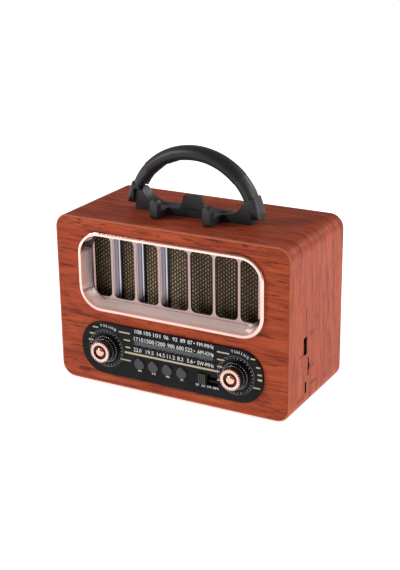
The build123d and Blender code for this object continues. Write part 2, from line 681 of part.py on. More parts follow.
with BuildPart() as usb_socket:
    with BuildSketch(side_on(POCKET_FACE - 14.0)):
        with Locations((USB_Y, USB_Z)):
            Rectangle(5.7, 13.2)
    extrude(amount=14.0)
    with BuildSketch(side_on(POCKET_FACE)):
        with Locations((USB_Y, USB_Z)):
            Rectangle(5.1, 12.5)
    extrude(amount=-13.0, mode=Mode.SUBTRACT)
    with BuildSketch(side_on(POCKET_FACE - 13.0)):
        with Locations((USB_Y + 1.2, USB_Z)):
            Rectangle(1.8, 11.0)
    extrude(amount=11.0)
    with BuildSketch(side_on(POCKET_FACE - 12.0)):
        with Locations(((USB_Y + 2.85 + MAIN_Y) / 2, USB_Z)):
            Rectangle(MAIN_Y - USB_Y - 2.85, 9.0)
    extrude(amount=8.0)
save(usb_socket.part, "usb_socket")

with BuildPart() as card_socket:
    with BuildSketch(side_on(POCKET_FACE - 15.0)):
        with Locations((CARD_Y + 0.1, CARD_Z)):
            Rectangle(2.2, 15.0)
    extrude(amount=15.0)
    with BuildSketch(side_on(POCKET_FACE)):
        with Locations((CARD_Y, CARD_Z)):
            Rectangle(1.2, 13.0)
    extrude(amount=-13.5, mode=Mode.SUBTRACT)
save(card_socket.part, "card_socket")

with BuildPart() as charge_socket:
    with BuildSketch(side_on(POCKET_FACE - 6.0)):
        with Locations((CHARGE_Y, CHARGE_Z)):
            RectangleRounded(3.0, 8.6, 0.8)
        with Locations(((CHARGE_Y + MAIN_Y) / 2 + 0.4, CHARGE_Z)):
            Rectangle(MAIN_Y - CHARGE_Y - 0.8, 6.0)
    extrude(amount=6.0)
    with BuildSketch(side_on(POCKET_FACE)):
        with Locations((CHARGE_Y, CHARGE_Z)):
            RectangleRounded(2.0, 7.4, 0.5)
    extrude(amount=-5.0, mode=Mode.SUBTRACT)
    with BuildSketch(side_on(POCKET_FACE - 5.0)):
        with Locations((CHARGE_Y, CHARGE_Z)):
            Rectangle(0.6, 4.0)
    extrude(amount=4.0)
save(charge_socket.part, "charge_socket")

with BuildPart() as status_leds:
    with BuildSketch(side_on(POCKET_FACE - 5.0)):
        for y, z in LED_SPOTS:
            with Locations((y + 0.1, z)):
                Rectangle(2.2, 3.0)
    extrude(amount=5.0)
    with BuildSketch(side_on(POCKET_FACE)):
        with Locations(*LED_SPOTS):
            Circle(0.8)
    extrude(amount=SKIN - 0.2)
save(status_leds.part, "status_leds")

# ---------------------------------------------------------------- battery and ferrite aerial
CELL_R, CELL_L = 9.2, 65.0
CELL_X, CELL_Y, CELL_Z = -45.0, 25.0, INNER_FLOOR + 12.0
with BuildPart() as battery_holder:
    with BuildSketch(side_on(CELL_X - CELL_L / 2 - 5.0)):
        with Locations((CELL_Y, INNER_FLOOR + 7.0)):
            RectangleRounded(22.0, 14.0, 1.5)
    extrude(amount=CELL_L + 10.0)
    with BuildSketch(side_on(CELL_X - CELL_L / 2 - 1.5)):
        with Locations((CELL_Y, CELL_Z)):
            Circle(CELL_R + 0.2)
        with Locations((CELL_Y, CELL_Z + 10.0)):
            Rectangle(2 * CELL_R + 0.4, 20.0)
    extrude(amount=CELL_L + 3.0, mode=Mode.SUBTRACT)
save(battery_holder.part, "battery_holder")

with BuildPart() as battery_cell:
    with BuildSketch(side_on(CELL_X - CELL_L / 2 - 1.5)):
        with Locations((CELL_Y, CELL_Z)):
            Circle(CELL_R)
    extrude(amount=CELL_L + 1.0)
    with BuildSketch(side_on(CELL_X + CELL_L / 2 - 0.5)):
        with Locations((CELL_Y, CELL_Z)):
            Circle(3.0)
    extrude(amount=2.0)
save(battery_cell.part, "battery_cell")

ROD_Y, ROD_Z, ROD_R, ROD_L = 30.0, 118.0, 4.0, 100.0
HOLDER_X = 40.0
with BuildPart() as ferrite_rod:
    with BuildSketch(side_on(-ROD_L / 2)):
        with Locations((ROD_Y, ROD_Z)):
            Circle(ROD_R)
    extrude(amount=ROD_L)
save(ferrite_rod.part, "ferrite_rod")

with BuildPart() as ferrite_coil:
    with BuildSketch(side_on(-18.0)):
        with Locations((ROD_Y, ROD_Z)):
            Circle(ROD_R + 1.4)
            Circle(ROD_R + RUN, mode=Mode.SUBTRACT)
    extrude(amount=36.0)
save(ferrite_coil.part, "ferrite_coil")

with BuildPart() as ferrite_holders:
    for x in (-HOLDER_X, HOLDER_X):
        with BuildSketch(side_on(x - 3.0)):
            with Locations((ROD_Y, (ROD_Z - 7.0 + INNER_CEILING) / 2)):
                RectangleRounded(13.0, INNER_CEILING - ROD_Z + 7.0, 1.0)
            with Locations((ROD_Y, ROD_Z)):
                Circle(ROD_R + RUN, mode=Mode.SUBTRACT)
        extrude(amount=6.0)
save(ferrite_holders.part, "ferrite_holders")

# ---------------------------------------------------------------- handle bracket
EAR_FRONT = PIVOT_Y - EAR_DEEP / 2
with BuildPart() as handle_bracket:
    with BuildSketch(facing(PIVOT_Y + EAR_DEEP / 2)):
        with BuildLine():
            Line((-EAR_OUT, TOP), (EAR_OUT, TOP))
            Line((EAR_OUT, TOP), (EAR_OUT, TOP + EAR_H))
            Line((EAR_OUT, TOP + EAR_H), (EAR_IN, TOP + EAR_H))
            ThreePointArc((EAR_IN, TOP + EAR_H), (38.4, TOP + 9.8), (28.0, TOP + BAR_H))
            Line((28.0, TOP + BAR_H), (-28.0, TOP + BAR_H))
            ThreePointArc((-28.0, TOP + BAR_H), (-38.4, TOP + 9.8), (-EAR_IN, TOP + EAR_H))
            Line((-EAR_IN, TOP + EAR_H), (-EAR_OUT, TOP + EAR_H))
            Line((-EAR_OUT, TOP + EAR_H), (-EAR_OUT, TOP))
        make_face()
    extrude(amount=EAR_DEEP)
    ear_tops = handle_bracket.faces().group_by(Axis.Z)[-1].edges().filter_by(Axis.X)
    fillet(ear_tops, 4.5)
    with BuildSketch(facing(EAR_FRONT)):
        with Locations((0, TOP + BAR_H / 2)):
            Rectangle(54.0, BAR_H)
    extrude(amount=2.6)
    # hooks at the ends of two low arms
    for x in (-HOOK_X, HOOK_X):
        with BuildSketch(facing(HOOK_FRONT + HOOK_T)):
            with BuildLine():
                half, round_z = HOOK_W / 2, HOOK_Z1 - HOOK_W / 2
                Line((x - half, HOOK_Z0), (x + half, HOOK_Z0))
                Line((x + half, HOOK_Z0), (x + half, round_z))
                ThreePointArc((x + half, round_z), (x, HOOK_Z1), (x - half, round_z))
                Line((x - half, round_z), (x - half, HOOK_Z0))
            make_face()
        extrude(amount=HOOK_T)
        with BuildSketch(facing(EAR_FRONT - 2.0)):
            with Locations((x, HOOK_Z0 + 2.5)):
                Rectangle(HOOK_W, 5.0)
        extrude(amount=EAR_FRONT - 2.0 - HOOK_FRONT - HOOK_T)
    fillet(handle_bracket.faces().group_by(Axis.Y)[0].edges(), HOOK_ROUND)
    # back-rest tab
    with BuildSketch(facing(TAB_BACK)):
        with BuildLine():
            Polyline((-TAB_LOW, TOP + BAR_H), (TAB_LOW, TOP + BAR_H), (TAB_HIGH, TAB_Z),
                     (-TAB_HIGH, TAB_Z), close=True)
        tab = make_face()
        fillet(tab.vertices().group_by(Axis.Y)[-1], TAB_ROUND)
    extrude(amount=TAB_T)
    with BuildSketch(Plane.XY.offset(TOP + BAR_H)):
        with Locations((-26.7, PIVOT_Y - 1.0), (26.7, PIVOT_Y - 1.0)):
            SlotOverall(10.5, 3.2)
    extrude(amount=-2.5, mode=Mode.SUBTRACT)
    for side in (-1, 1):
        with BuildSketch(side_on(side * EAR_OUT)):
            with Locations((PIVOT_Y, PIVOT_Z)):
                Circle(PIN_R + RUN)
        extrude(amount=-side * (EAR_OUT - PIN_X0 + 0.5), mode=Mode.SUBTRACT)
    with BuildSketch(Plane.XY.offset(TOP)):
        with Locations(*BRACKET_SCREWS):
            Circle(1.55)
    extrude(amount=4.0, mode=Mode.SUBTRACT)
save(handle_bracket.part, "handle_bracket")

with BuildPart() as bracket_screws:
    with BuildSketch(Plane.XY.offset(INNER_CEILING)):
        with Locations(*BRACKET_SCREWS):
            Circle(1.55)
    extrude(amount=WALL + 4.0)
    with BuildSketch(Plane.XY.offset(INNER_CEILING)):
        with Locations(*BRACKET_SCREWS):
            Circle(3.4)
    extrude(amount=-2.0)
save(bracket_screws.part, "bracket_screws")

# ---------------------------------------------------------------- handle
shoulder = GRIP_ARC_R * sin(radians(45))
arm_x = shoulder - ARM_ARC_R * sin(radians(45))
arm_z = GRIP_ARC_Z + shoulder - ARM_ARC_R * sin(radians(45))
arm_end = degrees(asin((PIVOT_Z - KNUCKLE_R - 0.5 - arm_z) / ARM_ARC_R))


def across(centre_x, centre_z, radius, angle):
    """Plane square to an arc in the handle's plane; the angle is from +X towards +Z."""
    out = Vector(cos(radians(angle)), 0, sin(radians(angle)))
    spot = Vector(centre_x, PIVOT_Y, centre_z) + out * radius
    return Plane(origin=spot, x_dir=out, z_dir=out.cross(Vector(0, 1, 0)))


grip_axis = Axis((0, PIVOT_Y, GRIP_ARC_Z), (0, 1, 0))
with BuildPart() as handle_grip:
    with BuildSketch(across(0, GRIP_ARC_Z, GRIP_ARC_R, 45)):
        Ellipse(HANDLE_HALF_THICK + GRIP_PROUD, HANDLE_HALF_DEEP + GRIP_PROUD)
        Ellipse(CORE_HALF_THICK + RUN, CORE_HALF_DEEP + RUN, mode=Mode.SUBTRACT)
    revolve(axis=grip_axis, revolution_arc=-90)
    groove_reach = GRIP_ARC_R - HANDLE_HALF_THICK - GRIP_PROUD + GROOVE_DEEP - GROOVE_R
    with BuildSketch(facing(PIVOT_Y + 2 * HANDLE_HALF_DEEP)):
        for turn in GROOVE_TURNS:
            with Locations((groove_reach * sin(radians(turn)),
                            GRIP_ARC_Z + groove_reach * cos(radians(turn)))):
                Circle(GROOVE_R)
    extrude(amount=4 * HANDLE_HALF_DEEP, mode=Mode.SUBTRACT)
save(handle_grip.part, "handle_grip")

with BuildPart() as handle_frame:
    with BuildSketch(across(0, GRIP_ARC_Z, GRIP_ARC_R, 45)):
        Ellipse(CORE_HALF_THICK, CORE_HALF_DEEP)
    revolve(axis=grip_axis, revolution_arc=-90)
    for side in (-1, 1):
        start = 45 if side > 0 else 135
        with BuildSketch(across(side * arm_x, arm_z, ARM_ARC_R, start)):
            Ellipse(HANDLE_HALF_THICK, HANDLE_HALF_DEEP)
        revolve(axis=Axis((side * arm_x, PIVOT_Y, arm_z), (0, 1, 0)),
                revolution_arc=side * (45 - arm_end))
        boot = degrees(asin((BOOT_Z - arm_z) / ARM_ARC_R))
        start = boot if side > 0 else 180 - boot
        with BuildSketch(across(side * arm_x, arm_z, ARM_ARC_R, start)):
            RectangleRounded(2 * BOOT_THICK, 2 * BOOT_DEEP, BOOT_ROUND)
        revolve(axis=Axis((side * arm_x, PIVOT_Y, arm_z), (0, 1, 0)),
                revolution_arc=side * (boot - arm_end))
    for side in (-1, 1):
        # round the foot of the arm off below the hinge pin
        with BuildSketch(side_on(side * ARM_CUT_X)):
            with Locations((PIVOT_Y, PIVOT_Z - KNUCKLE_R)):
                Rectangle(4 * KNUCKLE_R, 2 * KNUCKLE_R)
            with Locations((PIVOT_Y, PIVOT_Z)):
                Circle(KNUCKLE_R, mode=Mode.SUBTRACT)
        extrude(amount=side * 2 * (KNUCKLE_X0 - ARM_CUT_X), mode=Mode.SUBTRACT)
        # clear the bracket's ear
        with BuildSketch(side_on(side * ARM_CUT_X)):
            with Locations((PIVOT_Y, PIVOT_Z)):
                Circle(KNUCKLE_R + EAR_CLEAR)
        extrude(amount=side * (KNUCKLE_X0 - ARM_CUT_X), mode=Mode.SUBTRACT)
        with BuildSketch(side_on(side * KNUCKLE_X0)):
            with Locations((PIVOT_Y, PIVOT_Z)):
                Circle(PIN_R)
        extrude(amount=side * PIN_DEEP, mode=Mode.SUBTRACT)
save(handle_frame.part, "handle_frame")

with BuildPart() as hinge_pins:
    for side in (-1, 1):
        with BuildSketch(side_on(side * PIN_X0)):
            with Locations((PIVOT_Y, PIVOT_Z)):
                Circle(PIN_R)
        extrude(amount=side * (KNUCKLE_X0 + PIN_DEEP - PIN_X0))
save(hinge_pins.part, "hinge_pins")

# ---------------------------------------------------------------- telescopic aerial
with BuildPart() as aerial_base:
    with BuildSketch(facing(BACK)):
        with Locations((SWIVEL_X, AERIAL_Z)):
            Circle(7.0)
    extrude(amount=-1.6)
    with BuildSketch(facing(BACK + 1.6)):
        with Locations((SWIVEL_X, AERIAL_Z)):
            Circle(2.0)
    extrude(amount=-(SILL - BACK - 1.6))
    with BuildSketch(facing(SILL - 0.6)):
        with Locations((SWIVEL_X, AERIAL_Z)):
            Circle(3.4)
    extrude(amount=-0.6)
save(aerial_base.part, "aerial_base")

with BuildPart() as aerial_knuckle:
    with BuildSketch(facing(BACK + 1.7)):
        with Locations((SWIVEL_X, AERIAL_Z)):
            Circle(4.6)
    extrude(amount=-(SILL - 0.7 - BACK - 1.7))
    for z0, z1 in ((2.3, 4.2), (-4.2, -2.3)):
        with BuildSketch(Plane.XY.offset(AERIAL_Z + z0)):
            with Locations(((SWIVEL_X + TILT_X) / 2, AERIAL_Y)):
                Rectangle(SWIVEL_X - TILT_X, 5.4)
            with Locations((TILT_X, AERIAL_Y)):
                Circle(2.7)
        extrude(amount=z1 - z0)
    with BuildSketch(facing(SILL)):
        with Locations((SWIVEL_X, AERIAL_Z)):
            Circle(2.0 + RUN)
    extrude(amount=SILL - BACK, mode=Mode.SUBTRACT)
    with BuildSketch(Plane.XY.offset(AERIAL_Z - 4.2)):
        with Locations((TILT_X, AERIAL_Y)):
            Circle(1.0)
    extrude(amount=8.4)
save(aerial_knuckle.part, "aerial_knuckle")

with BuildPart() as aerial_tube_1:
    with BuildSketch(Plane.XY.offset(AERIAL_Z - 2.1)):
        with Locations((TILT_X, AERIAL_Y)):
            Circle(2.7)
        with Locations((TILT_X - 3.5, AERIAL_Y)):
            Rectangle(7.0, 5.4)
    extrude(amount=4.2)
    with BuildSketch(side_on(TILT_X - 5.0)):
        with Locations((AERIAL_Y, AERIAL_Z)):
            Circle(TUBE_R[0])
    extrude(amount=AERIAL_END - TILT_X + 5.0)
    with BuildSketch(side_on(TILT_X - 8.0)):
        with Locations((AERIAL_Y, AERIAL_Z)):
            Circle(BORE_R[0])
    extrude(amount=AERIAL_END - TILT_X + 8.0, mode=Mode.SUBTRACT)
    with BuildSketch(Plane.XY.offset(AERIAL_Z - 2.1)):
        with Locations((TILT_X, AERIAL_Y)):
            Circle(1.0 + RUN)
    extrude(amount=4.2, mode=Mode.SUBTRACT)
save(aerial_tube_1.part, "aerial_tube_1")

for number in (2, 3):
    inset = 4.0 * (number - 1)
    with BuildPart() as tube:
        with BuildSketch(side_on(TILT_X - 8.0 - inset)):
            with Locations((AERIAL_Y, AERIAL_Z)):
                Circle(TUBE_R[number - 1])
                Circle(BORE_R[number - 1], mode=Mode.SUBTRACT)
        extrude(amount=AERIAL_END - 2.0 * (number - 1) - TILT_X + 8.0 + inset)
    save(tube.part, f"aerial_tube_{number}")

with BuildPart() as aerial_tip:
    with BuildSketch(side_on(TILT_X - 24.0)):
        with Locations((AERIAL_Y, AERIAL_Z)):
            Circle(TUBE_R[3])
    extrude(amount=AERIAL_END - 6.0 - TILT_X + 24.0)
    with BuildSketch(side_on(AERIAL_END - 5.0)):
        with Locations((AERIAL_Y, AERIAL_Z)):
            Circle(TUBE_R[0])
    extrude(amount=-5.0)
    fillet(aerial_tip.faces().sort_by(Axis.X)[0].edges(), 1.0)
save(aerial_tip.part, "aerial_tip")

with BuildPart() as aerial_rest:
    with BuildSketch(facing(BACK)):
        with Locations((-30.0, AERIAL_Z - 6.0)):
            RectangleRounded(8.0, 5.8, 0.8)
    extrude(amount=-(SILL - BACK))
save(aerial_rest.part, "aerial_rest")
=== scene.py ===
"""Looks of the tabletop radio: materials, woven cloth, printing, light and camera.

Metres, +Z up, +X to the listener's right, front of the radio towards -Y.
"""

import json
import math

import bmesh
import bpy
from mathutils import Matrix, Vector


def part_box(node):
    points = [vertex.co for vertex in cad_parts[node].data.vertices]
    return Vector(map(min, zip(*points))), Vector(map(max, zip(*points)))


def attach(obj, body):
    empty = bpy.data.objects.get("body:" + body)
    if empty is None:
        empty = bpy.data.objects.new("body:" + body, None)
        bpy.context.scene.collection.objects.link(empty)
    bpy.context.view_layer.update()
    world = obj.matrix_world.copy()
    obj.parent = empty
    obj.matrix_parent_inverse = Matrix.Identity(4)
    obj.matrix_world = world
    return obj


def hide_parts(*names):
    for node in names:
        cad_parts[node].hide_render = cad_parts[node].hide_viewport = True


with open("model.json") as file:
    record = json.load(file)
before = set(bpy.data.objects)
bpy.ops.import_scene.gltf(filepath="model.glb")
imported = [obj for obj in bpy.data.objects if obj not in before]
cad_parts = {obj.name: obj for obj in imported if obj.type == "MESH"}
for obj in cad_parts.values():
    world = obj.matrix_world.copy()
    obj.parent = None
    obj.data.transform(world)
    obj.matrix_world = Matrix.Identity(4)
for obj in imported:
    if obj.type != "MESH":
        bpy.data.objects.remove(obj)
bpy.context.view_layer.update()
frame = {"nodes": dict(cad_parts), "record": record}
MM = 0.001


def middle(node):
    low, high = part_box(node)
    return (Vector(low) + Vector(high)) / 2


# ---------------------------------------------------------------- node helper
class Shader:
    """A node material, with short calls for the nodes that repeat."""

    def __init__(self, name, **sockets):
        self.material = bpy.data.materials.new(name)
        self.material.use_nodes = True
        self.tree = self.material.node_tree
        self.surface = self.tree.nodes["Principled BSDF"]
        self.place = self.tree.nodes.new("ShaderNodeTexCoord").outputs["Object"]
        for socket, value in sockets.items():
            self.surface.inputs[socket.replace("_", " ")].default_value = value

    def feed(self, socket, value):
        if isinstance(value, bpy.types.NodeSocket):
            self.tree.links.new(value, socket)
        elif value is not None:
            socket.default_value = value

    def node(self, kind, **settings):
        made = self.tree.nodes.new("ShaderNode" + kind)
        for key, value in settings.items():
            setattr(made, key, value)
        return made

    def scaled(self, scale, shift=(0, 0, 0), turn=(0, 0, 0), place=None):
        made = self.node("Mapping")
        self.feed(made.inputs["Vector"], place or self.place)
        made.inputs["Scale"].default_value = scale
        made.inputs["Location"].default_value = shift
        made.inputs["Rotation"].default_value = turn
        return made.outputs[0]

    def noise(self, scale, place=None, detail=3.0, rough=0.5, bend=0.0):
        made = self.node("TexNoise")
        self.feed(made.inputs["Vector"], place or self.place)
        made.inputs["Scale"].default_value = scale
        made.inputs["Detail"].default_value = detail
        made.inputs["Roughness"].default_value = rough
        made.inputs["Distortion"].default_value = bend
        return made.outputs["Fac"]

    def cells(self, scale):
        made = self.node("TexVoronoi")
        self.feed(made.inputs["Vector"], self.place)
        made.inputs["Scale"].default_value = scale
        return made.outputs["Distance"]

    def math(self, operation, a, b=None, c=None):
        made = self.node("Math", operation=operation)
        for socket, value in zip(made.inputs, (a, b, c)):
            self.feed(socket, value)
        return made.outputs[0]

    def axis(self, letter):
        made = self.node("SeparateXYZ")
        self.feed(made.inputs[0], self.place)
        return made.outputs[letter]

    def spread(self, value, low, high, to_low=0.0, to_high=1.0, smooth=True):
        made = self.node("MapRange", interpolation_type="SMOOTHSTEP" if smooth else "LINEAR")
        for name, number in (("Value", value), ("From Min", low), ("From Max", high),
                             ("To Min", to_low), ("To Max", to_high)):
            self.feed(made.inputs[name], number)
        return made.outputs[0]

    def ramp(self, value, *stops):
        made = self.node("ValToRGB")
        self.feed(made.inputs[0], value)
        while len(made.color_ramp.elements) < len(stops):
            made.color_ramp.elements.new(0.5)
        for element, (spot, colour) in zip(made.color_ramp.elements, stops):
            element.position = spot
            element.color = (*colour, 1.0)
        return made.outputs[0]

    def mix(self, factor, a, b):
        made = self.node("Mix", data_type="RGBA")
        self.feed(made.inputs["Factor"], factor)
        for socket, value in ((made.inputs[6], a), (made.inputs[7], b)):
            self.feed(socket, value if isinstance(value, bpy.types.NodeSocket) else (*value, 1.0))
        return made.outputs[2]

    def colour(self, value):
        self.feed(self.surface.inputs["Base Color"], value)

    def roughness(self, value):
        self.feed(self.surface.inputs["Roughness"], value)

    def bump(self, height, depth, strength=1.0):
        made = self.node("Bump")
        made.inputs["Strength"].default_value = strength
        made.inputs["Distance"].default_value = depth
        self.feed(made.inputs["Height"], height)
        self.tree.links.new(made.outputs[0], self.surface.inputs["Normal"])


def wear(name, base, worn, rough=(0.35, 0.5), grain=900.0, depth=0.00003, **sockets):
    """Moulded or coated surface: two close tones, uneven gloss and a fine grain."""
    s = Shader(name, **sockets)
    s.colour(s.mix(s.spread(s.noise(60.0, detail=5.0), 0.35, 0.7), base, worn))
    s.roughness(s.spread(s.noise(140.0, detail=4.0), 0.3, 0.7, *rough))
    s.bump(s.noise(grain, detail=2.0), depth, 0.6)
    return s.material


# ---------------------------------------------------------------- wood wrap
EDGE_HIGHLIGHT_WIDTH = 1.6 * MM                         # width of the painted highlight along the case's front and rear edges
CUT_START, CUT_FULL = 0.2 * MM, 0.5 * MM      # under the film the slots' walls turn dark with painted shade
CUT_DEEP = 4.0 * MM
SLOTS_Y, SLOTS_Y_HALF = -10.0 * MM, 30.0 * MM
SLOTS_Z, SLOTS_Z_HALF = 39.0 * MM, 25.0 * MM


def wood(name, along, across, grain_axis, gap_axis, edge=None, cut=None):
    """Printed wood film. Figures run along grain_axis and change quickly along gap_axis.

    along and across scale the pattern on those axes. edge is the front and rear of the case,
    which get a painted highlight, and cut is its right wall, whose side slots get painted shade.
    """
    s = Shader(name, IOR=1.40, Specular_IOR_Level=0.16)
    scale = {"X": 1.0, "Y": 1.0, "Z": 1.0}
    scale[gap_axis] = across
    for letter in grain_axis:
        scale[letter] = along
    stretch = s.scaled(tuple(scale.values()), shift=(3.1, 7.7, 1.3))
    sway = s.noise(0.35, stretch, detail=2.0)
    swayed = s.node("VectorMath", operation="ADD")
    s.feed(swayed.inputs[0], stretch)
    lift = s.node("CombineXYZ")
    s.feed(lift.inputs[gap_axis], s.math("MULTIPLY", s.math("SUBTRACT", sway, 0.5), 3.0))
    s.feed(swayed.inputs[1], lift.outputs[0])
    flow = swayed.outputs[0]
    broad = s.noise(0.45, flow, detail=4.0, rough=0.55)
    bands = s.noise(1.5, flow, detail=6.0, rough=0.62, bend=0.6)
    fibre = s.noise(9.0, flow, detail=4.0, rough=0.7)
    tone = s.ramp(s.math("MULTIPLY_ADD", bands, 0.7, s.math("MULTIPLY", broad, 0.3)),
                  (0.28, (0.110, 0.016, 0.007)), (0.42, (0.260, 0.038, 0.013)),
                  (0.52, (0.385, 0.064, 0.021)), (0.66, (0.490, 0.096, 0.034)))
    tone = s.mix(s.spread(fibre, 0.35, 0.7, 0.0, 0.55), tone, (0.29, 0.043, 0.017))
    # dark vessels: thin contour lines of a stretched pattern, in some places only
    rings = s.math("FRACT", s.math("MULTIPLY", s.noise(0.8, flow, detail=3.0, rough=0.5), 11.0))
    line = s.spread(s.math("ABSOLUTE", s.math("SUBTRACT", rings, 0.5)), 0.0, 0.13, 1.0, 0.0)
    patch = s.spread(s.noise(0.9, flow, detail=2.0), 0.44, 0.60)
    dark = s.math("MULTIPLY", line, patch)
    tone = s.mix(s.math("MULTIPLY", dark, 0.8), tone, (0.070, 0.012, 0.007))
    streak = s.spread(s.noise(2.6, s.scaled((1, 1, 1), shift=(9, 4, 6), place=flow), detail=3.0,
                              rough=0.7), 0.54, 0.67)
    tone = s.mix(s.math("MULTIPLY", streak, 0.85), tone, (0.085, 0.015, 0.009))
    if edge:
        # painted highlight: the wood film is painted lighter along the front and rear edges of the case
        front, rear = edge
        depth = s.axis("Y")
        edge_highlight = s.math("ADD", s.spread(depth, front, front + EDGE_HIGHLIGHT_WIDTH, 1.0, 0.0),
                      s.spread(depth, rear - EDGE_HIGHLIGHT_WIDTH, rear, 0.0, 1.0))
        tone = s.mix(s.math("MULTIPLY", edge_highlight, 0.55), tone, (0.50, 0.16, 0.085))
    if cut:
        # painted shade: the cut walls of the side slots are painted near black, just under the film
        slot_wall_shade = s.spread(s.axis("X"), cut - CUT_FULL, cut - CUT_START, 1.0, 0.0)
        for letter, centre, reach in (("X", cut, CUT_DEEP), ("Y", SLOTS_Y, SLOTS_Y_HALF),
                                      ("Z", SLOTS_Z, SLOTS_Z_HALF)):
            off = s.math("ABSOLUTE", s.math("SUBTRACT", s.axis(letter), centre))
            slot_wall_shade = s.math("MULTIPLY", slot_wall_shade, s.math("LESS_THAN", off, reach))
        tone = s.mix(slot_wall_shade, tone, (0.012, 0.009, 0.008))
    s.colour(tone)
    s.roughness(s.spread(fibre, 0.3, 0.7, 0.34, 0.50))
    relief = s.math("SUBTRACT", s.math("MULTIPLY", fibre, 0.35), dark)
    s.bump(relief, 0.00012, 0.5)
    return s.material


shell_low, shell_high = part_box("cabinet_shell")
shell_wood = wood("wood_wrap_case", 14.0, 260.0, "XZ", "Y",
                  edge=(shell_low[1], shell_high[1]), cut=shell_high[0])
panel_wood = wood("wood_wrap_front", 14.0, 200.0, "XY", "Z")

# ---------------------------------------------------------------- plated grille
grille_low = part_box("grille_bezel")[0]
RIM_TO_PLATE = 10.2 * MM                      # front of the rim to the slotted plate
PLATE_TO_REAR = 7.6 * MM
FLOOR_FULL, FLOOR_END = 6.0 * MM, 13.0 * MM   # dish floor, above the bottom of the grille


def plated_grille():
    """Rose rim and dish floor; the fins and side walls are nearer to plain bright metal."""
    s = Shader("rose_plating_grille", Metallic=1.0)
    depth, height = s.axis("Y"), s.axis("Z")
    plate = grille_low[1] + RIM_TO_PLATE
    rim = grille_low[1]
    floor = s.spread(height, grille_low[2] + FLOOR_FULL, grille_low[2] + FLOOR_END, 1.0, 0.0)
    wall = s.math("MULTIPLY", s.spread(depth, rim + 3 * MM, rim + 6 * MM),
                  s.math("SUBTRACT", 1.0, floor))
    base = s.mix(s.spread(s.noise(45.0, detail=4.0), 0.3, 0.7), (0.90, 0.62, 0.55),
                 (0.84, 0.55, 0.48))
    base = s.mix(s.math("MULTIPLY", floor, s.spread(depth, rim + 2 * MM, rim + 4 * MM)),
                 base, (0.97, 0.76, 0.70))
    bare = s.spread(depth, plate - 0.6 * MM, plate - 0.2 * MM, 1.0, 0.0)
    base = s.mix(s.math("MULTIPLY", wall, bare), base, (0.78, 0.73, 0.75))
    # painted shade: the front faces of the fins are painted darker than the walls round them
    face = s.spread(depth, plate - 1.6 * MM, plate - 0.7 * MM, 0.0, 0.75)
    base = s.mix(s.math("MULTIPLY", wall, face), base, (0.30, 0.24, 0.25))
    # the floor of the dish has a softer, satin plating that picks up light from every side
    s.feed(s.surface.inputs["Metallic"], s.math("MULTIPLY_ADD", floor, -0.5, 1.0))
    # from the slotted plate backwards the fins' flanks carry painted reflections and shade: tinted edge,
    # grey flank, dark band, painted highlight on the rear edge, painted black shade behind
    flank_light_bands = s.ramp(s.spread(depth, plate - 0.4 * MM, plate + PLATE_TO_REAR, smooth=False),
                   (0.00, (0.42, 0.29, 0.27)), (0.16, (0.36, 0.25, 0.24)),
                   (0.22, (0.13, 0.12, 0.15)), (0.42, (0.20, 0.19, 0.23)),
                   (0.50, (0.04, 0.04, 0.05)), (0.60, (0.62, 0.61, 0.65)),
                   (0.66, (0.02, 0.02, 0.02)), (1.00, (0.01, 0.01, 0.01)))
    s.colour(s.mix(bare, flank_light_bands, base))
    smear = s.noise(260.0, s.scaled((1, 1, 0.25)), detail=3.0)
    s.roughness(s.math("ADD", s.spread(smear, 0.3, 0.7, 0.13, 0.20),
                       s.math("MULTIPLY", floor, 0.16)))
    s.bump(s.noise(1500.0, detail=2.0), 0.000006, 0.3)
    return s.material


def plating(name, bright, dull, rough=(0.16, 0.28)):
    s = Shader(name, Metallic=1.0)
    s.colour(s.mix(s.spread(s.noise(150.0, detail=4.0), 0.3, 0.7), bright, dull))
    s.roughness(s.spread(s.noise(420.0, detail=3.0), 0.3, 0.7, *rough))
    s.bump(s.noise(1400.0, detail=2.0), 0.000012, 0.5)
    return s.material


# ---------------------------------------------------------------- small procedural finishes
def fibre_board():
    s = Shader("fibre_board")
    flecks = s.cells(700.0)
    pulp = s.math("MULTIPLY", s.noise(90.0), 0.5)
    s.colour(s.ramp(s.math("ADD", s.math("MULTIPLY", flecks, 0.6), pulp),
                    (0.2, (0.045, 0.030, 0.020)), (0.8, (0.16, 0.105, 0.065))))
    s.roughness(s.spread(flecks, 0.0, 0.8, 0.75, 0.95))
    s.bump(flecks, 0.00015, 0.6)
    return s.material


def cone_paper():
    s = Shader("cone_paper")
    ridges = s.math("SINE", s.math("MULTIPLY", s.axis("Y"), 3600.0))
    pulp = s.noise(500.0, detail=5.0, rough=0.7)
    s.colour(s.ramp(pulp, (0.3, (0.018, 0.018, 0.019)), (0.75, (0.055, 0.053, 0.052))))
    s.roughness(s.spread(pulp, 0.3, 0.7, 0.7, 0.95))
    s.bump(s.math("ADD", s.math("MULTIPLY", ridges, 0.4), pulp), 0.0001, 0.7)
    return s.material


def circuit_board():
    s = Shader("circuit_board", Coat_Weight=0.4, Coat_Roughness=0.15)
    tracks = s.node("TexBrick")
    s.feed(tracks.inputs["Vector"], s.scaled((1, 1, 1), turn=(math.pi / 2, 0, 0)))
    for socket, value in (("Scale", 90.0), ("Mortar Size", 0.05), ("Brick Width", 0.9),
                          ("Row Height", 0.28)):
        tracks.inputs[socket].default_value = value
    tracks.inputs["Color1"].default_value = (0.012, 0.10, 0.045, 1)
    tracks.inputs["Color2"].default_value = (0.014, 0.13, 0.055, 1)
    tracks.inputs["Mortar"].default_value = (0.03, 0.22, 0.10, 1)
    solder = s.spread(s.cells(420.0), 0.12, 0.2, 1.0, 0.0)
    s.colour(s.mix(s.math("MULTIPLY", solder, 0.8), tracks.outputs["Color"], (0.62, 0.60, 0.55)))
    s.roughness(s.spread(s.noise(200.0), 0.3, 0.7, 0.3, 0.5))
    s.bump(solder, 0.0001, 0.5)
    return s.material


WIRE_PITCH = 0.6 * MM


